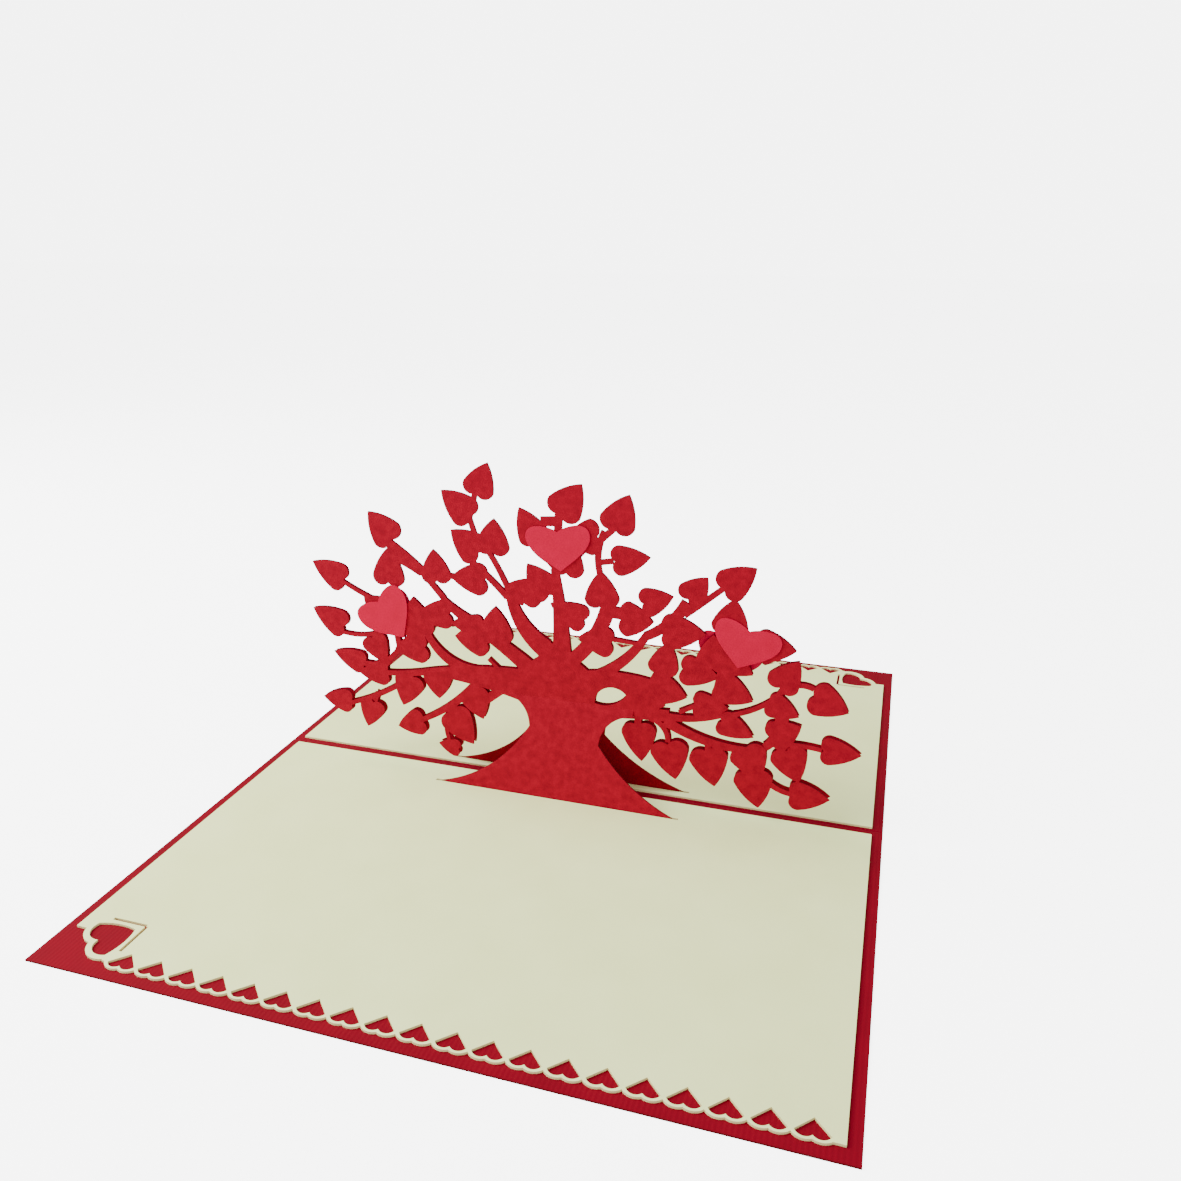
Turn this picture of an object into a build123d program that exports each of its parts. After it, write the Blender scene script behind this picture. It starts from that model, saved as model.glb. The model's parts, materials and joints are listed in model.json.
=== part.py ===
"""Pop up card of cut paper: a red cover, two pale liners and a standing tree of heart leaves.

Frame: +Z up, millimetres, the card open flat on its cover.
X runs along the fold, Y across it, and -Y is the near panel, which is the front cover.
The origin is the middle of the fold on the underside of the cover.
"""
from build123d import *
from math import cos, hypot, radians, sin
import os

os.makedirs("parts", exist_ok=True)

# Card
card_length = 162.0
panel_width = 100.0
cover_thickness = 0.4
score_width = 0.9
score_depth = 0.15

# Liners
liner_thickness = 0.5
side_border = 2.6
spine_gap = 4.7
outer_border = 3.2
slit_reach = 1.5
slit_clearance = 0.2
pocket_clearance = 0.3

# Row of hearts along the outer edge of each liner
row_count = 20
row_start = 5.4
row_end = 17.1
row_heart_share = 0.47
row_heart_aspect = 1.85
row_heart_inset = 0.8
row_ring_share = 0.13

# Larger heart in one corner of each liner
corner_heart_length = 7.2
corner_heart_aspect = 1.6
corner_heart_in_x = 7.4
corner_heart_in_y = 5.7
corner_ring = 1.2
corner_slot_gap = 1.5
corner_slot_width = 0.35
corner_slot_length = 8.2

# Tree of two leaning sheets
tree_height = 85.0
bend_level = 0.3
join_level = 0.7
sheet_thickness = 0.3
front_foot = 10.0
back_foot = 3.5
bend_gap = 1.0
tab_width = 8.0
tab_inset = 1.5
leaf_aspect = 1.0

# Pink hearts on the tree
pink_thickness = 0.3
pink_aspect = 1.66

# Openwork cut through the front cover, drawn with u across the panel and v along the card
cloud_centre_u = 0.53 * panel_width
cloud_centre_v = 0.125 * card_length
cloud_radius_u = 0.27 * panel_width
cloud_radius_v = 0.2 * card_length
cloud_count = 9
cloud_opening_degrees = 80.0
cloud_stroke_share = 0.88
cloud_rise = 5.5
stroke_depth = 1.5
fork_drop = 0.15 * card_length
bough_count = 3
bough_start = 0.04 * panel_width
bough_reach = 0.15 * panel_width
bough_rise = 2.4
bough_gap = 2.0
trunk_length = 0.25 * card_length
trunk_top_half = 0.03 * panel_width
trunk_foot_half = 0.09 * panel_width
trunk_rise = 3.5
root_rise = 2.4
root_depth = 1.2
cover_heart_length = 6.0
cover_heart_aspect = 1.3

# What follows from the sizes above
liner_half_length = card_length / 2 - side_border
liner_outer = panel_width - outer_border
join_y = (back_foot - front_foot) / 2
foot_half_gap = (back_foot + front_foot) / 2
bend_height = bend_level * tree_height
join_height = join_level * tree_height
crown_top = 1.1 * tree_height

# One half of a heart, on a unit length from its notch to its tip and a width of one.
# Each piece of it is a line of 2 points, an arc through 3 or a Bezier curve of 4.
LEAF_HALF = (((0.05, 0), (-0.03, 0.26), (0.24, 0.47)), ((0.24, 0.47), (0.64, 0.30), (1, 0)))
CUT_HALF = (((0, 0), (-0.17, 0.28), (0.12, 0.50)), ((0.12, 0.50), (1, 0)))
CORNER_HALF = (((0, 0), (-0.18, 0.27), (0.12, 0.50)), ((0.12, 0.50), (0.585, 0.32), (1, 0)))
PINK_HALF = (
    ((0, 0), (-0.12, 0.08), (-0.34, 0.50), (0.12, 0.50)),
    ((0.12, 0.50), (0.46, 0.50), (0.72, 0.22), (1, 0)),
)
CURVES = {2: Line, 3: ThreePointArc, 4: Bezier}


def heart(notch, tip, aspect, half):
    """A heart from its notch to its tip. Aspect is its width over that length."""
    length = hypot(tip[0] - notch[0], tip[1] - notch[1])
    ahead = ((tip[0] - notch[0]) / length, (tip[1] - notch[1]) / length)
    with BuildSketch() as shape:
        with BuildLine():
            for hand in (aspect, -aspect):
                for piece in half:
                    points = [
                        (
                            notch[0] + length * (u * ahead[0] - v * hand * ahead[1]),
                            notch[1] + length * (u * ahead[1] + v * hand * ahead[0]),
                        )
                        for u, v in piece
                    ]
                    CURVES[len(points)](*points)
        make_face()
    return shape.sketch


def on_grid(*points):
    """Points of the tree's drawing grid at the tree's own size."""
    return [(x * grid, z * grid) for x, z in points]


def leaf(notch_x, notch_z, tip_x, tip_z, aspect=leaf_aspect):
    """One leaf of the tree, placed on the drawing grid."""
    return heart(*on_grid((notch_x, notch_z), (tip_x, tip_z)), aspect, LEAF_HALF)


def limb(start, middle, end, start_width, end_width):
    """A tapered limb along the arc through three points of the drawing grid."""
    with BuildLine() as centre:
        ThreePointArc(*on_grid(start, middle, end))
    widths = (start_width * grid, (start_width + end_width) * grid / 2, end_width * grid)
    sides = {}
    for side in (1, -1):
        sides[side] = []
        for place, width in zip((0, 0.5, 1), widths):
            outward = (centre.line % place).rotate(Axis.Z, 90 * side)
            sides[side].append(centre.line @ place + outward * (width / 2))
    with BuildSketch() as shape:
        with BuildLine():
            ThreePointArc(*sides[1])
            Line(sides[1][2], sides[-1][2])
            ThreePointArc(*reversed(sides[-1]))
            Line(sides[-1][0], sides[1][0])
        make_face()
    return shape.sketch


def stalk(start, end, width):
    """A short straight stalk between two points of the drawing grid."""
    length = hypot(end[0] - start[0], end[1] - start[1])
    across = (-(end[1] - start[1]) / length * width / 2, (end[0] - start[0]) / length * width / 2)
    corners = [(x + side * across[0], z + side * across[1])
               for x, z, side in ((*start, 1), (*end, 1), (*end, -1), (*start, -1))]
    with BuildSketch() as shape:
        with BuildLine():
            Polyline(*on_grid(*corners), close=True)
        make_face()
    return shape.sketch


def crescent(start, end, rise, depth):
    """A curved stroke with pointed ends, as a blade cuts it."""
    with BuildSketch() as shape:
        with BuildLine():
            SagittaArc(start, end, rise)
            SagittaArc(end, start, depth - rise)
        make_face()
    return shape.sketch


# Tree outline on a grid of millimetres for a tree 85 mm tall, with x from the middle and z from the cover.
# Each limb is a start, a middle point and an end, then its width at the start and at the end.
LIMBS = [
    # Low left limb with its twigs
    ((-8, 27.8), (-20, 28.9), (-36, 28.4), 9.4, 1.9),
    ((-36, 28.4), (-43, 27), (-50, 26.4), 1.9, 1.3),
    ((-22, 30), (-31, 32.9), (-36.8, 40.3), 3.4, 1.8),
    ((-41, 26.6), (-50, 20.4), (-60, 16), 1.6, 1.2),
    ((-22, 27.9), (-30, 19.8), (-40, 13.5), 2.6, 1.3),
    ((-28.8, 20), (-31.5, 15), (-30.8, 9), 1.3, 1.1),
    # High left limb with its twigs
    ((-7, 32), (-13, 36.6), (-20.5, 41.3), 4.5, 3),
    ((-20, 42), (-26, 44.8), (-31.6, 49), 3.6, 1.8),
    ((-31.2, 49), (-34.2, 52.4), (-38, 56.3), 1.7, 1.5),
    ((-46.5, 61.2), (-42, 58.8), (-37, 55.5), 5, 2.6),
    ((-61.5, 51.6), (-54, 47.8), (-48.5, 45.7), 1.1, 1.3),
    ((-62, 36.7), (-56, 36.2), (-50, 37.7), 1, 1.2),
    ((-50, 27), (-47, 30.8), (-44, 34.2), 1.6, 1.5),
    # Left of the leader
    ((-4, 38.8), (-9.7, 44.1), (-13.4, 53), 5.4, 2.4),
    ((-13.2, 52), (-15.6, 57.2), (-18.9, 62.7), 1.5, 1.4),
    ((-14, 51.2), (-17.8, 55), (-23.5, 59.6), 1.7, 1.6),
    # Leader and the stem to its right
    ((0.3, 32), (-0.1, 46), (-1.7, 60), 5.6, 2),
    ((2.8, 36.5), (8.6, 43.5), (12, 52), 3.6, 3.8),
    ((10, 59), (9.2, 64), (10.7, 70.5), 1.5, 1.7),
    # High right limb with its twigs
    ((9.3, 33.2), (15.1, 37.3), (21.8, 45.8), 3, 2),
    ((21.3, 45.2), (27.2, 49.4), (31.2, 55), 2.2, 3),
    ((30.6, 51.7), (35, 55.4), (39.8, 59.6), 1.7, 1.4),
    ((39, 29), (40.3, 38), (42, 48), 2.5, 2),
    # Low right limb with its twigs
    ((6, 31.8), (15, 32.9), (26, 31.7), 5, 3.8),
    ((14, 24.2), (20, 24.8), (28, 25.2), 3.2, 3.2),
    ((27, 23.9), (36, 20.2), (51, 19.4), 2.8, 1.6),
    ((28, 25), (34, 25.4), (40.5, 27.2), 2, 1.4),
    ((40.5, 27.2), (47, 29.2), (54, 34.3), 1.3, 1.2),
    ((54, 34.5), (57, 37.2), (62, 37.1), 1.4, 1.3),
    ((51.6, 20.4), (54.3, 24), (55, 30), 2, 3.5),
    ((53, 21.5), (60, 22.2), (65, 21.8), 1.3, 1.2),
    ((50.6, 14.2), (54, 10.6), (59, 9), 1.6, 1.3),
    ((23, 24), (26.6, 22), (27.9, 18), 1.5, 1.3),
]
STALKS = [
    ((-51.5, 20.4), (-52.4, 17.6), 1.3),
    ((-49, 28), (-56, 28.4), 1.6),
    ((-49, 46.4), (-45.6, 40.5), 1.5),
    ((-44.2, 33), (-45.8, 43), 1.6),
    ((-33.4, 55.4), (-26, 55.2), 1.5),
    ((-15.3, 26.6), (-20.2, 22.6), 2.4),
    ((-13.2, 52), (-9.6, 50.6), 2.2),
    ((-23.8, 71), (-21.8, 65), 1.4),
    ((-23.8, 70.5), (-22, 77.5), 1.4),
    ((-1.4, 59), (-0.6, 75), 2),
    ((-1.4, 60.8), (-7.5, 67.4), 2.6),
    ((-5.2, 71.6), (-0.8, 72), 2.4),
    ((10, 68.5), (13.3, 71.7), 1.7),
    ((9, 62.6), (13, 63.4), 1.4),
    ((12.5, 50.6), (16.5, 50.2), 3),
    ((12.4, 43.6), (19.8, 43.1), 1),
    ((-19.4, 34.2), (-16, 31.2), 1),
    ((41.5, 46.7), (50, 46.7), 1.6),
    ((24.5, 33), (26, 38), 2.4),
    ((30.4, 26.6), (35, 29.2), 1.2),
    ((37.7, 20.4), (38.1, 17.2), 1.6),
    ((20.2, 26), (20.2, 21.5), 1.8),
]
# Each leaf is its notch and its tip, with its aspect where that isn't the usual one.
LEAVES = [
    # Left edge, from the top down
    (-45, 63, -51.4, 70.2),
    (-46.7, 51.2, -46.1, 61.5, 0.9),
    (-33, 53.2, -33.9, 61.9),
    (-59.4, 50.9, -68.4, 55.4, 0.83),
    (-60.1, 37.9, -69.2, 42.5, 0.82),
    (-45.5, 41, -54, 47.2),
    (-38.9, 38.2, -40, 48.6),
    (-29.5, 45, -39.5, 43.9, 0.8),
    (-36.6, 35.1, -45.7, 33.8),
    (-52.5, 36.3, -48.4, 29.2),
    (-55.1, 28, -63.8, 30.8, 0.73),
    (-48.2, 26.4, -56.5, 25.5, 0.9),
    (-59.6, 16.3, -68, 17, 0.84),
    (-52.8, 17.6, -54.9, 9.9, 0.98),
    (-38.3, 13.8, -45.8, 11.4),
    (-33.9, 28.6, -33.4, 21.1, 1.15),
    (-41.4, 26.4, -44, 17.7),
    (-24.3, 24.9, -21.1, 17, 1.05),
    (-30.2, 17.8, -24, 9.3, 0.95),
    (-28.1, 7.2, -34, 8.2, 0.88),
    # Between the left limbs and the leader
    (-17.3, 38.8, -17.4, 48.6),
    (-19.5, 38.8, -28.5, 39.4, 1.05),
    (-21, 42.6, -29.5, 42.8, 0.75),
    (-3, 52.8, -8.8, 60.6, 0.95),
    (-5.3, 52.6, -14, 54.9, 0.9),
    (-19.6, 55.2, -29.2, 55.2, 0.95),
    (-21.3, 61.8, -28.8, 67.4, 1.02),
    (-17.9, 62.2, -17.4, 71.3, 1.04),
    (-23.3, 71.1, -31, 77.3, 0.92),
    (-21.9, 76.8, -18.7, 85),
    # Top of the crown
    (-6.2, 66.4, -10.8, 74.6, 0.9),
    (-0.6, 73.5, 5, 81.5, 1.02),
    (9.3, 69, 1, 68.2, 1.15),
    (13, 71, 16.6, 79.9),
    (12.9, 63.3, 22.1, 65.1, 0.85),
    (1.2, 58.7, 2.5, 67.7),
    (10.5, 51.6, 9.8, 60.7, 1.02),
    (6.2, 47.4, -2.8, 51, 0.78),
    (13.2, 42.4, 4.5, 43, 0.96),
    # Right edge, from the top down
    (20.2, 53.4, 27.9, 56, 0.96),
    (15, 49.2, 23.3, 49, 1.15),
    (31.1, 55.6, 35.8, 61.6, 1.05),
    (39.5, 59, 47, 65, 0.94),
    (41.2, 48.2, 42.5, 57.1, 1.04),
    (48, 46.4, 57.3, 45.9, 0.95),
    (25.6, 47.1, 36, 47.6, 0.92),
    (38, 38.6, 37.9, 47.8),
    (25.6, 36.2, 27.4, 44.5, 0.95),
    (30.5, 38, 39.8, 37, 0.88),
    (38.6, 43.3, 47.7, 38.7, 0.85),
    (39.2, 35.2, 48.1, 31.9, 0.95),
    (22.9, 32.8, 32.2, 30.7),
    (18, 28.8, 27, 27.8, 0.85),
    (34, 29.1, 42.5, 29.3, 0.88),
    (40.5, 25.9, 48.8, 22.6, 0.78),
    (53.8, 36.1, 58.2, 43.5),
    (61.7, 35.4, 70.3, 32.2),
    (51.7, 32.3, 59.1, 29.5, 0.88),
    (52.8, 23, 59.9, 27.2, 1.05),
    (65, 21.8, 74.1, 21.8, 0.82),
    (56.6, 20.8, 60.3, 12.4, 1.05),
    (58.5, 8.8, 67.9, 9, 0.85),
    (46.8, 19.6, 51.1, 11.6, 1.1),
    (48.9, 13.4, 51.1, 3.9, 1.05),
    (37.6, 17.6, 40.1, 7.9, 1.03),
    (27.8, 18, 30.3, 8.2, 1.02),
    (20.2, 21.9, 21.5, 11.8, 0.92),
]
# Pink hearts: notch and tip on the front sheet, then on the rear of the back sheet
PINK_HEARTS = {
    "front_heart_left": ((-49.8, 46.2), (-42.8, 37.2), 1.37),
    "front_heart_top": ((-1, 69.4), (0, 59.6), pink_aspect),
    "front_heart_right": ((46.3, 49.6), (44, 40.2), pink_aspect),
    "back_heart_left": ((-49, 45.5), (-43, 36.5), 1.37),
    "back_heart_top": ((-1, 68.4), (0, 58.8), pink_aspect),
    "back_heart_right": ((42.3, 45.5), (40, 36.1), pink_aspect),
}

# The drawing grid is sized so that the highest leaf tip stands at the tree's height
grid = tree_height / max(place[3] for place in LEAVES)
root_reach = 31 * grid
tab_reach = root_reach - tab_inset

# The trunk leans, so it is drawn by itself up to the bend, with a root to each side
trunk_left, trunk_right = -15.4 * grid, 19 * grid
left_root, right_root = (-root_reach, liner_thickness), (root_reach, liner_thickness)
left_waist, right_waist, right_arch = on_grid((-7.8, 18), (10.7, 15.5), (19, 23.6))
with BuildSketch() as trunk_outline:
    with BuildLine():
        Line(left_root, right_root)
        ThreePointArc(right_root, *on_grid((18.5, 7.6)), right_waist)
        ThreePointArc(right_waist, *on_grid((12.2, 20)), right_arch)
        Polyline(right_arch, (trunk_right, bend_height), (trunk_left, bend_height))
        ThreePointArc((trunk_left, bend_height), *on_grid((-9.7, 22.6)), left_waist)
        ThreePointArc(left_waist, *on_grid((-17, 7.2)), left_root)
    make_face()

# The crown is the fork of the trunk, the limbs, the stalks and the leaves, with a window in the fork
crown_shapes = [limb(*place) for place in LIMBS]
crown_shapes += [stalk(*place) for place in STALKS]
crown_shapes += [leaf(*place) for place in LEAVES]
window_left, window_right = on_grid((9, 26), (17, 29.2))
with BuildSketch() as crown_outline:
    with BuildLine():
        Polyline(
            (trunk_left, bend_height),
            *on_grid((-18, 28), (-6.5, 36), (-3, 41), (4.5, 36.5), (9, 33), (19, 32)),
            (trunk_right, bend_height),
            close=True,
        )
    make_face()
    add(crown_shapes)
    with BuildLine():
        ThreePointArc(window_left, *on_grid((11, 30)), window_right)
        ThreePointArc(window_right, *on_grid((14.2, 26.5)), window_left)
    make_face(mode=Mode.SUBTRACT)
    add(trunk_outline.sketch, mode=Mode.SUBTRACT)


def crown_gap(height):
    """Half the clear gap between the two sheets in the crown, which close together at the join."""
    share = (join_height - height) / (join_height - bend_height)
    return bend_gap / 2 * max(share, 0)


def crown_profile(side, lift, thickness):
    """Side view of a layer in the crown: lift is how far it lies outside the sheet's inner face."""
    heights = (0, join_height, crown_top)
    inner = [(join_y + side * (crown_gap(z) + lift), z) for z in heights]
    outer = [(join_y + side * (crown_gap(z) + lift + thickness), z) for z in reversed(heights)]
    return inner + outer


def trunk_profile(side):
    """Side view of the leaning trunk, from the top of the liner to the bend."""
    step = side * sheet_thickness
    foot = join_y + side * foot_half_gap - step / 2
    bend = join_y + side * bend_gap / 2
    low = liner_thickness
    return [(foot, low), (bend, bend_height), (bend + step, bend_height), (foot + step, low)]


def foot_profile(side):
    """Side view of the foot: through the slit in the liner, then folded flat under it."""
    inner = join_y + side * (foot_half_gap - sheet_thickness / 2)
    outer = inner + side * sheet_thickness
    end = inner + side * tab_width
    top = liner_thickness
    lap = sheet_thickness
    return [(inner, top), (inner, 0), (end, 0), (end, lap), (outer, lap), (outer, top)]


def bent_layer(outline, profile):
    """A layer of paper with this outline from the front and this profile from the side."""
    front_plane = Plane(origin=(0, -panel_width, cover_thickness), x_dir=(1, 0, 0), z_dir=(0, -1, 0))
    side_plane = Plane(origin=(-card_length, 0, cover_thickness), x_dir=(0, 1, 0), z_dir=(1, 0, 0))
    with BuildPart() as layer:
        with BuildSketch(front_plane):
            add(outline)
        extrude(amount=-2 * panel_width)
        with BuildSketch(side_plane):
            with BuildLine():
                Polyline(*profile, close=True)
            make_face()
        extrude(amount=2 * card_length, mode=Mode.INTERSECT)
    return layer.part


with BuildSketch() as foot_outline:
    with Locations((0, liner_thickness / 2)):
        Rectangle(2 * tab_reach, liner_thickness)


def tree_sheet(side):
    """One cut sheet of the tree: crown, leaning trunk and folded foot in one piece."""
    with BuildPart() as sheet:
        add(bent_layer(crown_outline.sketch, crown_profile(side, 0, sheet_thickness)))
        add(bent_layer(trunk_outline.sketch, trunk_profile(side)))
        add(bent_layer(foot_outline.sketch, foot_profile(side)))
    return sheet.part


with BuildPart() as front_tree:
    add(tree_sheet(-1))
front_tree.part.label = "front_tree"
export_step(front_tree.part, "parts/front_tree.step")

with BuildPart() as back_tree:
    add(tree_sheet(1))
back_tree.part.label = "back_tree"
export_step(back_tree.part, "parts/back_tree.step")

for name, (notch, tip, aspect) in PINK_HEARTS.items():
    outline = heart(*on_grid(notch, tip), aspect, PINK_HALF)
    side = -1 if name.startswith("front") else 1
    with BuildPart() as pink_heart:
        add(bent_layer(outline, crown_profile(side, sheet_thickness, pink_thickness)))
    pink_heart.part.label = name
    export_step(pink_heart.part, f"parts/{name}.step")

# Liner: a pale panel with a heart row along its outer edge and a larger heart in one corner
row_pitch = (2 * liner_half_length - row_start - row_end) / (row_count - 1)
row_heart = heart((0, 0), (0, row_heart_share * row_pitch), row_heart_aspect, CUT_HALF)
row_ring_shape = offset(row_heart, amount=row_ring_share * row_pitch)
row_centre_x = (row_end - row_start) / 2
row_y = -liner_outer + row_heart_inset
corner_notch = (-liner_half_length + corner_heart_in_x, -liner_outer + corner_heart_in_y)
corner_run = corner_heart_length / 2**0.5
corner_tip = (corner_notch[0] + corner_run, corner_notch[1] + corner_run)
corner_heart = heart(corner_notch, corner_tip, corner_heart_aspect, CORNER_HALF)
corner_ring_shape = offset(corner_heart, amount=corner_ring)
slot_corner = (corner_tip[0] + corner_slot_gap, corner_tip[1] + corner_slot_gap)


def liner_panel():
    """The near liner, with a slit for the tree's foot and a shallow pocket under it for the tab."""
    with BuildPart() as panel:
        with BuildSketch(Plane.XY.offset(cover_thickness)):
            with BuildLine():
                Polyline(
                    (liner_half_length, -spine_gap / 2),
                    (liner_half_length, -liner_outer),
                    (liner_half_length - row_start / 2, -liner_outer),
                    (liner_half_length - row_start / 2, row_y),
                    (corner_tip[0], row_y),
                    (corner_tip[0], corner_notch[1] + corner_run / 2),
                    (-liner_half_length, corner_notch[1] + corner_run / 2),
                    (-liner_half_length, -spine_gap / 2),
                    close=True,
                )
            make_face()
            add(corner_ring_shape)
            with Locations((row_centre_x, row_y)):
                with GridLocations(row_pitch, 1, row_count, 1):
                    add(row_ring_shape)
            with Locations((row_centre_x, row_y)):
                with GridLocations(row_pitch, 1, row_count, 1):
                    add(row_heart, mode=Mode.SUBTRACT)
            add(corner_heart, mode=Mode.SUBTRACT)
            with Locations((slot_corner[0] - corner_slot_length / 2, slot_corner[1])):
                Rectangle(corner_slot_length, corner_slot_width, mode=Mode.SUBTRACT)
            with Locations((slot_corner[0], slot_corner[1] - corner_slot_length / 2)):
                Rectangle(corner_slot_width, corner_slot_length, mode=Mode.SUBTRACT)
        extrude(amount=liner_thickness)
    return panel.part


def liner(foot):
    """A liner with its slit and pocket at the given distance of the tree's foot from the fold."""
    with BuildPart() as fitted:
        add(liner_panel())
        with BuildSketch(Plane.XY.offset(cover_thickness)):
            with Locations((0, -foot)):
                Rectangle(2 * (root_reach + slit_reach), sheet_thickness + 2 * slit_clearance)
        extrude(amount=liner_thickness, mode=Mode.SUBTRACT)
        with BuildSketch(Plane.XY.offset(cover_thickness)):
            with Locations((0, -foot - tab_width / 2)):
                Rectangle(2 * (tab_reach + pocket_clearance), tab_width + 2 * pocket_clearance)
        extrude(amount=sheet_thickness, mode=Mode.SUBTRACT)
    return fitted.part


with BuildPart() as near_liner:
    add(liner(front_foot))
near_liner.part.label = "near_liner"
export_step(near_liner.part, "parts/near_liner.step")

with BuildPart() as far_liner:
    add(liner(back_foot), rotation=(0, 0, 180))
far_liner.part.label = "far_liner"
export_step(far_liner.part, "parts/far_liner.step")

# Openwork of the front cover, drawn as seen from outside: u from the fold, v up the closed card
outside_plane = Plane(origin=(0, 0, 0), x_dir=(0, -1, 0), z_dir=(0, 0, -1))


def on_cloud(angle):
    """A point on the cloud's oval, at an angle in degrees."""
    u = cloud_centre_u + cloud_radius_u * cos(radians(angle))
    return (u, cloud_centre_v + cloud_radius_v * sin(radians(angle)))


def mirrored(u, v, side):
    """A point at this distance from the middle of the drawn tree, on one side of it."""
    return (cloud_centre_u + side * u, v)


openwork = []
cloud_step = (360 - cloud_opening_degrees) / cloud_count
half_stroke = cloud_stroke_share * cloud_step / 2
for number in range(cloud_count):
    middle = -90 + cloud_opening_degrees / 2 + (number + 0.5) * cloud_step
    start = on_cloud(middle - half_stroke)
    end = on_cloud(middle + half_stroke)
    openwork.append(crescent(end, start, cloud_rise, stroke_depth))

# Boughs fan out from the fork, the middle one longest, each with a heart beyond its end
fork_v = cloud_centre_v - fork_drop
for number in range(bough_count):
    angle = 180 * (number + 1) / (bough_count + 1)
    ahead = Vector(1, 0).rotate(Axis.Z, angle)
    bough_end = bough_reach * (0.6 + 0.8 * ahead.Y)
    heart_tip = bough_end + bough_gap
    base, top, tip, notch = [
        (cloud_centre_u + far * ahead.X, fork_v + far * ahead.Y)
        for far in (bough_start, bough_end, heart_tip, heart_tip + cover_heart_length)
    ]
    rise = bough_rise if angle > 90 else -bough_rise
    openwork.append(crescent(base, top, rise, rise / 2))
    openwork.append(heart(notch, tip, cover_heart_aspect, CUT_HALF))

# Trunk and roots. A root stroke starts and ends at shares of the panel's width out from the middle and of
# the card's length under the trunk's foot.
ROOT_STROKES = (((0.12, 0), (0.26, 0.043)), ((0.09, 0.031), (0.19, 0.086)))
foot_v = fork_v - trunk_length
for side in (1, -1):
    trunk_top = mirrored(trunk_top_half, fork_v - bough_gap, side)
    trunk_foot = mirrored(trunk_foot_half, foot_v, side)
    openwork.append(crescent(trunk_top, trunk_foot, -trunk_rise * side, -stroke_depth * side))
    for stroke in ROOT_STROKES:
        start, end = [
            mirrored(across * panel_width, foot_v - down * card_length, side) for across, down in stroke
        ]
        openwork.append(crescent(start, end, root_rise * side, root_depth * side))

# Loose hearts, at shares of the panel's width and of the card's length
LOOSE_HEARTS = ((0.27, -0.15), (0.79, -0.17), (0.28, 0.43), (0.79, 0.41))
for across, along in LOOSE_HEARTS:
    u, v = across * panel_width, along * card_length
    notch = (u, v + cover_heart_length / 2)
    tip = (u, v - cover_heart_length / 2)
    openwork.append(heart(notch, tip, cover_heart_aspect, CUT_HALF))

with BuildPart() as cover:
    with BuildSketch():
        Rectangle(card_length, 2 * panel_width)
    extrude(amount=cover_thickness)
    # Score along the fold
    with BuildSketch(Plane.YZ.offset(-card_length / 2)):
        with BuildLine():
            Polyline(
                (-score_width / 2, cover_thickness), (0, cover_thickness - score_depth),
                (score_width / 2, cover_thickness), close=True,
            )
        make_face()
    extrude(amount=card_length, mode=Mode.SUBTRACT)
    with BuildSketch(outside_plane):
        add(openwork)
    extrude(amount=-cover_thickness, mode=Mode.SUBTRACT)
cover.part.label = "cover"
export_step(cover.part, "parts/cover.step")
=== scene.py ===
# %% [markdown]
# # A pop up card of cut paper
#
# The solid model gives every sheet its outline and its folds. This script gives the sheets their paper:
# mottled red card for the tree, red card with fine laid ribs for the cover, smooth cream card, pink card,
# and the darker walls of their cuts. It then refines three small cuts of the cream panels, and sets a
# camera, a pale floor and soft light.

import json
from math import pi, radians

import bpy
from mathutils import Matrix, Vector

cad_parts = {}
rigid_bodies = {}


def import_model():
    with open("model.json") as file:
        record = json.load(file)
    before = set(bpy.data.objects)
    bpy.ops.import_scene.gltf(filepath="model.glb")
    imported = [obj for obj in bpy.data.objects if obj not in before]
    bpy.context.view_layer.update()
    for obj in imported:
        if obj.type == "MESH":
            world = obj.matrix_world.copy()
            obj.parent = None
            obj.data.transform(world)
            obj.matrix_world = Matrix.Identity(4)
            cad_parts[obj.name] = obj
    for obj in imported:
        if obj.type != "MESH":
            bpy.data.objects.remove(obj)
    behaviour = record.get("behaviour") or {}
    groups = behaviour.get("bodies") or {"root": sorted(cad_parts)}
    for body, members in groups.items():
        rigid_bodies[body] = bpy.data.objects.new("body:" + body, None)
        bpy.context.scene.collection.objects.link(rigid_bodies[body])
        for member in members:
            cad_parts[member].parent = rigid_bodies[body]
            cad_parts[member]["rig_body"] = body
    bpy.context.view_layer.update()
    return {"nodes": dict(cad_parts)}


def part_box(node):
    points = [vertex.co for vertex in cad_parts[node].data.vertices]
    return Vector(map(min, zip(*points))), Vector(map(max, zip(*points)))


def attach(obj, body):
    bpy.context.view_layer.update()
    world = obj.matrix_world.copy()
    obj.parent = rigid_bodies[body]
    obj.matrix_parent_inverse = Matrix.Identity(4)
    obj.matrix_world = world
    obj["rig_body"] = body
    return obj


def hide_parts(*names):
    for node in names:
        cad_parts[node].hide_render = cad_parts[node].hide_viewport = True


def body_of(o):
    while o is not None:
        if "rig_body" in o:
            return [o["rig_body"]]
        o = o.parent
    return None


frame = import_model()
nodes = frame["nodes"]
print("nodes:", ", ".join(sorted(nodes)))

# %% [markdown]
# ## Helpers for node trees
#
# A material is a graph of nodes. Two short helpers keep the graphs readable: one adds a node and fills in
# its inputs, the other makes a group with named sockets, so that one effect can be shared by all papers.

# %% Node helpers
def add_node(tree, kind, inputs=None, **settings):
    """Add a node. Inputs are constants, or sockets of other nodes, by name or by number."""
    node = tree.nodes.new(kind)
    for name, value in settings.items():
        setattr(node, name, value)
    for name, value in (inputs or {}).items():
        if isinstance(value, bpy.types.NodeSocket):
            tree.links.new(value, node.inputs[name])
        else:
            node.inputs[name].default_value = value
    return node


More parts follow.
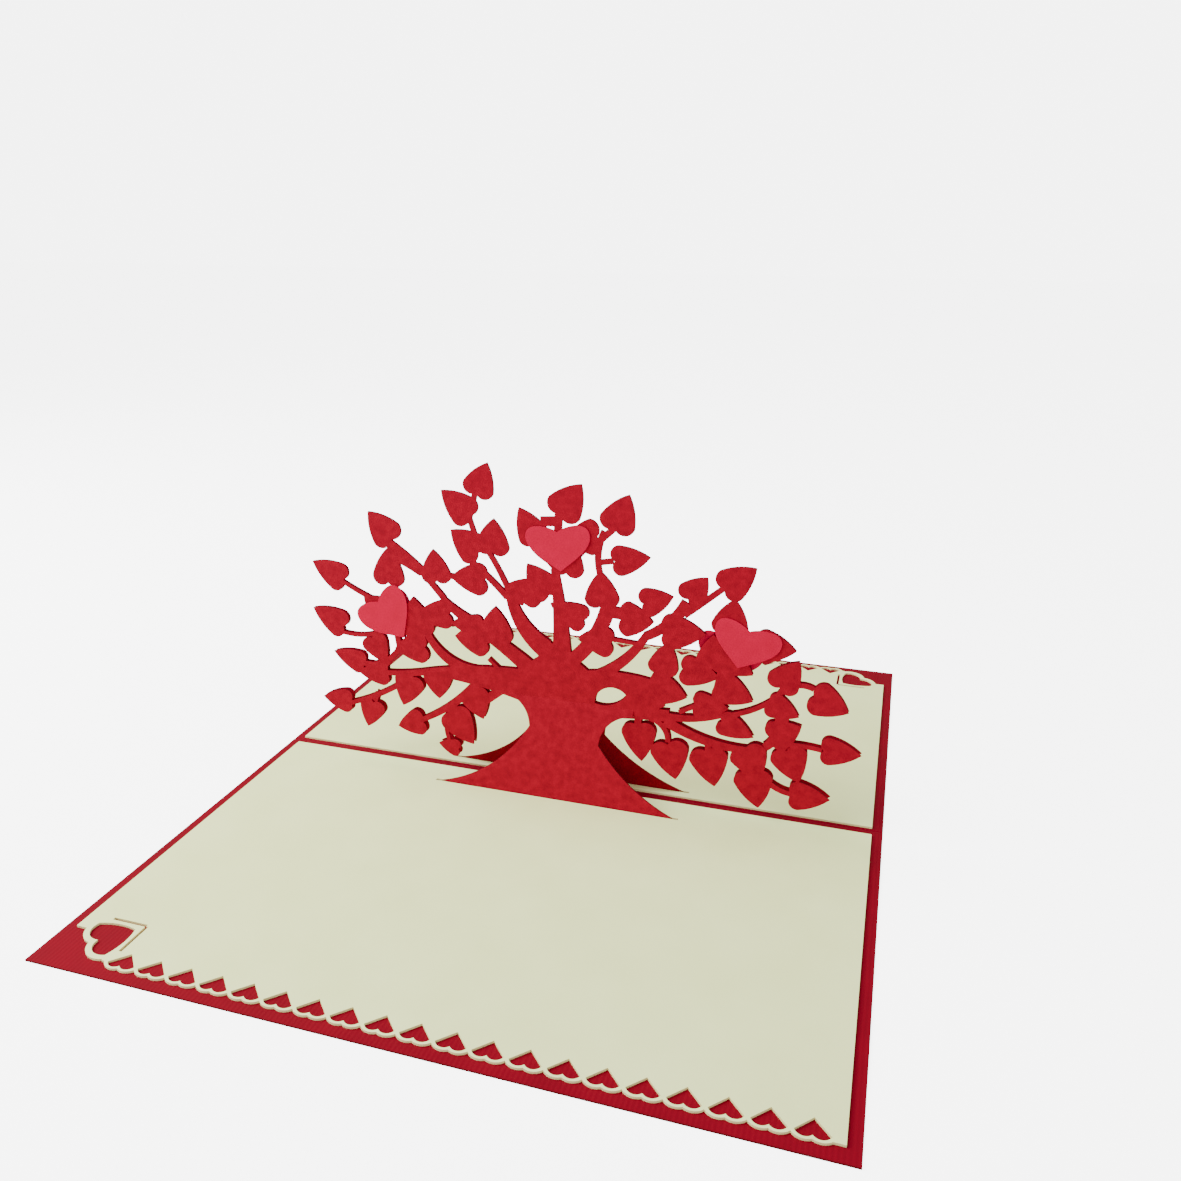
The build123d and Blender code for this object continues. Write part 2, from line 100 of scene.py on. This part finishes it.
def new_group(name, inputs, outputs):
    """A node group. An input is its name, kind and usual value; an output is its name and kind."""
    tree = bpy.data.node_groups.new(name, "ShaderNodeTree")
    for socket_name, kind, value in inputs:
        tree.interface.new_socket(socket_name, in_out="INPUT", socket_type=kind).default_value = value
    for socket_name, kind in outputs:
        tree.interface.new_socket(socket_name, in_out="OUTPUT", socket_type=kind)
    return tree, tree.nodes.new("NodeGroupInput").outputs, tree.nodes.new("NodeGroupOutput").inputs


def maths(tree, operation, *values, clamp=False):
    """The result of one maths node on up to three values."""
    node = add_node(tree, "ShaderNodeMath", dict(enumerate(values)), operation=operation, use_clamp=clamp)
    return node.outputs[0]


FLOAT, VECTOR = "NodeSocketFloat", "NodeSocketVector"

# %% [markdown]
# ## Paper fibres
#
# Paper is felt: fibres lie every way in the sheet and clump softly. Two noises show this. The fine one is
# the tooth that a finger feels, and the broad one is the cloudiness seen when a sheet catches the light.
# A photographed texture would tile and stretch on the folds, and noise in the object's own space doesn't.

# %% Fibre group
fibre_group, given, result = new_group(
    "Paper fibres",
    [("Fine scale", FLOAT, 2200.0), ("Cloud scale", FLOAT, 70.0)],
    [("Tooth", FLOAT), ("Cloud", FLOAT)],
)
place = add_node(fibre_group, "ShaderNodeTexCoord").outputs["Object"]
tooth = add_node(
    fibre_group,
    "ShaderNodeTexNoise",
    {"Vector": place, "Scale": given["Fine scale"], "Detail": 5.0, "Roughness": 0.65, "Distortion": 0.6},
)
cloud = add_node(
    fibre_group, "ShaderNodeTexNoise", {"Vector": place, "Scale": given["Cloud scale"], "Detail": 3.0}
)
fibre_group.links.new(tooth.outputs["Fac"], result["Tooth"])
fibre_group.links.new(cloud.outputs["Fac"], result["Cloud"])
print("group:", fibre_group.name)

# %% [markdown]
# ## Laid ribs
#
# The cover's card has fine parallel ribs, a little under a millimetre apart, pressed in by the mill. A sine
# of the distance across them gives the rounded ridges. A slow noise pushes the lines slightly out of true,
# and another makes each rib fade here and there, because a press never prints a perfect grating.

# %% Rib group
rib_group, given, result = new_group(
    "Laid ribs",
    [("Across", VECTOR, (1.0, 0.0, 0.0)), ("Pitch", FLOAT, 0.00093)],
    [("Rib", FLOAT)],
)
place = add_node(rib_group, "ShaderNodeTexCoord").outputs["Object"]
across = add_node(rib_group, "ShaderNodeVectorMath", {0: place, 1: given["Across"]}, operation="DOT_PRODUCT")
sway = add_node(rib_group, "ShaderNodeTexNoise", {"Vector": place, "Scale": 40.0, "Detail": 2.0})
swayed = maths(rib_group, "MULTIPLY_ADD", sway.outputs["Fac"], 0.0009, across.outputs["Value"])
turns = maths(rib_group, "MULTIPLY", maths(rib_group, "DIVIDE", swayed, given["Pitch"]), 2 * pi)
ridge = maths(rib_group, "MULTIPLY_ADD", maths(rib_group, "SINE", turns), 0.5, 0.5)
fade = add_node(rib_group, "ShaderNodeTexNoise", {"Vector": place, "Scale": 260.0, "Detail": 3.0})
strength = maths(rib_group, "MULTIPLY_ADD", fade.outputs["Fac"], 0.9, 0.3, clamp=True)
rib_group.links.new(maths(rib_group, "MULTIPLY", ridge, strength), result["Rib"])
print("group:", rib_group.name)

# %% [markdown]
# ## Cut edges
#
# Where a blade or a hot beam goes through card, the wall of the cut is rougher and darker than the face. The
# wall is found by its direction: on a face the surface normal lies along the sheet's own normal, and on a
# cut wall it lies across it.

# %% Edge group
edge_group, given, result = new_group(
    "Cut edge", [("Sheet normal", VECTOR, (0.0, 0.0, 1.0))], [("Wall", FLOAT)]
)
facing = add_node(edge_group, "ShaderNodeNewGeometry").outputs["True Normal"]
along = add_node(
    edge_group, "ShaderNodeVectorMath", {0: facing, 1: given["Sheet normal"]}, operation="DOT_PRODUCT"
)
level = maths(edge_group, "ABSOLUTE", along.outputs["Value"])
wall = add_node(
    edge_group,
    "ShaderNodeMapRange",
    {"Value": level, "From Min": 0.55, "From Max": 0.85, "To Min": 1.0, "To Max": 0.0},
)
edge_group.links.new(wall.outputs["Result"], result["Wall"])
print("group:", edge_group.name)

# %% [markdown]
# ## One recipe for every paper
#
# All the papers are made the same way: two close tones clouded together, another tone on the cut walls, a
# matt surface, and a bump from the fibres and, on the cover, the ribs. Only the values differ: the scale of
# the clouds is the number across a metre, so 70 gives broad soft patches and 600 gives the fine mottling of
# a felt-marked card. Paper has hardly any gloss, so the roughness is high and the specular level very low.

# %% Paper recipe
tooth_depth = 0.00004
rib_depth = 0.00003


def mix_colours(tree, share, first, second):
    """First colour where share is 0, second where it is 1."""
    return add_node(tree, "ShaderNodeMix", {0: share, 6: first, 7: second}, data_type="RGBA").outputs[2]


def paper(name, light, deep, wall, sheet_normal, clouds=70.0, rib_axis=None):
    """Paper in two tones, with the tone of its cut walls, the way its sheet faces and how its ribs lie."""
    material = bpy.data.materials.new(name)
    material.use_nodes = True
    tree = material.node_tree
    surface = tree.nodes["Principled BSDF"]
    surface.inputs["Specular IOR Level"].default_value = 0.08

    fibre_node = add_node(tree, "ShaderNodeGroup", node_tree=fibre_group)
    fibre_node.inputs["Cloud scale"].default_value = clouds
    fibres = fibre_node.outputs
    edge = add_node(tree, "ShaderNodeGroup", node_tree=edge_group)
    edge.inputs["Sheet normal"].default_value = sheet_normal

    tone = maths(tree, "MULTIPLY_ADD", fibres["Cloud"], 2.4, -0.7, clamp=True)
    tone = maths(tree, "MULTIPLY_ADD", fibres["Tooth"], 0.3, maths(tree, "MULTIPLY", tone, 0.7))
    height = maths(tree, "MULTIPLY", fibres["Tooth"], tooth_depth)
    if rib_axis:
        ribs = add_node(tree, "ShaderNodeGroup", node_tree=rib_group)
        ribs.inputs["Across"].default_value = rib_axis
        tone = maths(tree, "MULTIPLY_ADD", ribs.outputs["Rib"], 0.3, maths(tree, "MULTIPLY", tone, 0.7))
        height = maths(tree, "MULTIPLY_ADD", ribs.outputs["Rib"], rib_depth, height)

    face = mix_colours(tree, tone, (*deep, 1.0), (*light, 1.0))
    colour = mix_colours(tree, edge.outputs["Wall"], face, (*wall, 1.0))
    tree.links.new(colour, surface.inputs["Base Color"])
    roughness = maths(tree, "MULTIPLY_ADD", fibres["Cloud"], 0.15, 0.72)
    tree.links.new(roughness, surface.inputs["Roughness"])
    bump = add_node(tree, "ShaderNodeBump", {"Height": height, "Distance": 1.0, "Strength": 1.0})
    tree.links.new(bump.outputs["Normal"], surface.inputs["Normal"])
    return material


print("tooth", round(tooth_depth * 1e6), "and ribs", round(rib_depth * 1e6), "micrometres deep")

# %% [markdown]
# ## The four papers
#
# The tree stands upright, so its sheet faces along Y, and its card is mottled. The cover lies flat, and its
# ribs run across the fold, so they are counted along X. The cream and pink papers are smooth, and the beam
# that cut the cream card has browned the walls of its cuts. The colours are given as linear values, which
# is what the shader works in. The reds hold hardly any green, because a strong light turns a red that holds
# green towards orange. The walls of their cuts are darker than their faces.

# %% Make and assign the papers
UPRIGHT, FLAT, ALONG_FOLD = (0.0, 1.0, 0.0), (0.0, 0.0, 1.0), (1.0, 0.0, 0.0)

tree_card = paper(
    "Red tree card", (0.33, 0.0015, 0.0165), (0.205, 0.0005, 0.010), (0.10, 0.0, 0.004), UPRIGHT, 600.0
)
cover_card = paper(
    "Red cover card", (0.21, 0.0, 0.010), (0.15, 0.0, 0.007), (0.10, 0.0, 0.003), FLAT, 90.0, ALONG_FOLD
)
liner_card = paper("Cream card", (0.87, 0.95, 0.44), (0.81, 0.89, 0.39), (0.76, 0.70, 0.34), FLAT)
pink_card = paper("Pink card", (0.49, 0.0, 0.038), (0.43, 0.0, 0.030), (0.30, 0.0, 0.016), UPRIGHT, 300.0)

papers = {"cover": cover_card, "tree": tree_card, "liner": liner_card, "heart": pink_card}
for name, node in nodes.items():
    kind = next(word for word in papers if word in name)
    node.data.materials.clear()
    node.data.materials.append(papers[kind])
    print(name, "is", papers[kind].name.lower())

# %% [markdown]
# ## Finer cuts in the panels
#
# Seen close, the photograph differs from the solid panels in three cuts. The strip of cover at the fold is
# only about three millimetres wide, the lobes of the small hearts reach nearer to the scalloped edge, and
# the angled slit beside the large heart is wider. Copies of the panels stand in for them, and the points of
# these cuts move in the copies. The far panel is the near one turned half round, so its points are read and
# moved with a turn of -1, and one function does both.
#
# The places follow from the panels' own boxes and from the margins at the two ends of the row. A heart's
# length and its limits are shares of the pitch. A rim is told from the scallops round it by how far its
# points lie beside the middle of their heart and above the deepest point of its lobes.

# %% Panels
mm = 0.001
fold_shift = 1.4 * mm
row_margin_right = 5.4 * mm
row_margin_left = 17.1 * mm
panel_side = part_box("near_liner")[1][0]
heart_count = 20
heart_pitch = (2 * panel_side - row_margin_right - row_margin_left) / (heart_count - 1)
last_heart = panel_side - row_margin_right
notch_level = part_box("cover")[0][1] + 4.0 * mm
tip_level = notch_level + 0.47 * heart_pitch
lobe_depth = 0.65 * mm
half_heart = 0.44
lobe_stretch = 0.11
slit_corner_x = -64.41 * mm
slit_corner_y = -84.51 * mm
slit_length = 8.2 * mm
slit_widening = 0.35 * mm
outer_side = 0.1 * mm
reach = 0.3 * mm


def in_row_heart(x, y):
    """True for a point on the rim of one of the small hearts."""
    place = (last_heart - x) / heart_pitch
    in_a_heart = abs(place - round(place)) < half_heart and 0 <= round(place) < heart_count
    return in_a_heart and notch_level - lobe_depth < y < tip_level


def refine_cuts(mesh, turn):
    """Move the points of the cuts, with a turn of 1 for the near panel and -1 for the far one."""
    for vertex in mesh.vertices:
        x, y = turn * vertex.co.x, turn * vertex.co.y
        right, above = x - slit_corner_x, y - slit_corner_y
        if in_row_heart(x, y):
            y -= lobe_stretch * (tip_level - y)
        if -slit_length - reach < min(right, above) and max(right, above) < reach:
            x += slit_widening if right > outer_side else 0.0
            y += slit_widening if above > outer_side else 0.0
        vertex.co.x, vertex.co.y = turn * x, turn * y


for name, turn in (("near", 1), ("far", -1)):
    node = nodes[name + "_liner"]
    panel = bpy.data.objects.new(name + "_panel", node.data.copy())
    refine_cuts(panel.data, turn)
    bpy.context.scene.collection.objects.link(panel)
    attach(panel, body_of(node)[0])
    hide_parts(name + "_liner")

edge_at_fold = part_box("far_liner")[0][1]
for vertex in bpy.data.objects["far_panel"].data.vertices:
    if vertex.co.y < edge_at_fold + reach:
        vertex.co.y -= fold_shift
strip = edge_at_fold - fold_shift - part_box("near_liner")[1][1]
print("the strip at the fold is", round(strip / mm, 2), "mm wide")
print("the small hearts are", round(heart_pitch / mm, 2), "mm apart")

# %% [markdown]
# ## Camera
#
# The card is seen from the front, a little to the right and about thirty degrees above the fold. A short
# lens close by gives the strong perspective, with the near edge much wider than the far one. The small
# shifts slide the picture without turning the camera, so upright lines keep their lean.

# %% Camera
camera_data = bpy.data.cameras.new("Camera")
camera = bpy.data.objects.new("Camera", camera_data)
bpy.context.scene.collection.objects.link(camera)
camera.location = (0.07434, -0.23140, 0.13916)
camera.rotation_euler = (radians(70.48), radians(-0.31), radians(17.25))
camera_data.sensor_width = 36.0
camera_data.lens = 31.77
camera_data.shift_x = 0.01139
camera_data.shift_y = 0.00288
camera_data.clip_start = 0.01
bpy.context.scene.camera = camera
print("camera", tuple(round(v, 3) for v in camera.location))

# %% [markdown]
# ## Floor
#
# A plain pale table keeps attention on the card. It glows for the camera only, so that it comes out near
# white, as a lit studio table does, while no light from below falls on the card.

# %% Floor
def box_mesh(name, low, high):
    """A plain slab between two corners."""
    corners = [(x, y, z) for z in (low[2], high[2]) for y in (low[1], high[1]) for x in (low[0], high[0])]
    faces = [(0, 2, 3, 1), (4, 5, 7, 6), (0, 1, 5, 4), (2, 6, 7, 3), (0, 4, 6, 2), (1, 3, 7, 5)]
    mesh = bpy.data.meshes.new(name)
    mesh.from_pydata(corners, [], faces)
    slab = bpy.data.objects.new(name, mesh)
    bpy.context.scene.collection.objects.link(slab)
    return slab


camera_glow = 5.0
floor = box_mesh("Floor", (-3.0, -3.0, -0.02), (3.0, 3.0, 0.0))
floor_paint = bpy.data.materials.new("Pale table")
floor_paint.use_nodes = True
table_top = floor_paint.node_tree.nodes["Principled BSDF"].inputs
table_top["Base Color"].default_value = (0.86, 0.86, 0.86, 1.0)
table_top["Roughness"].default_value = 0.9
seen = add_node(floor_paint.node_tree, "ShaderNodeLightPath").outputs["Is Camera Ray"]
glow = mix_colours(floor_paint.node_tree, seen, (0.0, 0.0, 0.0, 1.0), (1.0, 1.0, 1.0, 1.0))
floor_paint.node_tree.links.new(glow, table_top["Emission Color"])
table_top["Emission Strength"].default_value = camera_glow
floor.data.materials.append(floor_paint)
print("floor", tuple(round(side, 2) for side in floor.dimensions), "metres")

# %% [markdown]
# ## Light
#
# One large lamp, above and to the left, makes the soft shadows that show how far the leaves stand off the
# card. A second one, low in front, opens those shadows, and a pale world fills the rest. Big lamps are used
# because small ones draw hard shadows. The world glows for the camera as the table does, so that no line
# shows where the two meet.

# %% Lamps and world
def lamp(name, place, aim, size, power):
    """A square soft lamp that points from its place at a point."""
    data = bpy.data.lights.new(name, "AREA")
    data.size = size
    data.energy = power
    light = bpy.data.objects.new(name, data)
    light.location = place
    direction = light.location - Vector(aim)
    light.rotation_euler = direction.to_track_quat("Z", "Y").to_euler()
    bpy.context.scene.collection.objects.link(light)
    return light


lamp("Key lamp", (-0.45, -0.1, 0.42), (-0.06, 0.0, 0.02), 0.55, 8.5)
lamp("Fill lamp", (0.5, -0.9, 0.4), (0.0, 0.0, 0.03), 0.8, 3.0)
world = bpy.data.worlds.new("Pale room")
world.use_nodes = True
world.node_tree.nodes["Background"].inputs["Color"].default_value = (1.0, 1.0, 1.0, 1.0)
seen = add_node(world.node_tree, "ShaderNodeLightPath").outputs["Is Camera Ray"]
strength = maths(world.node_tree, "MULTIPLY_ADD", seen, camera_glow, 0.9)
world.node_tree.links.new(strength, world.node_tree.nodes["Background"].inputs["Strength"])
bpy.context.scene.world = world
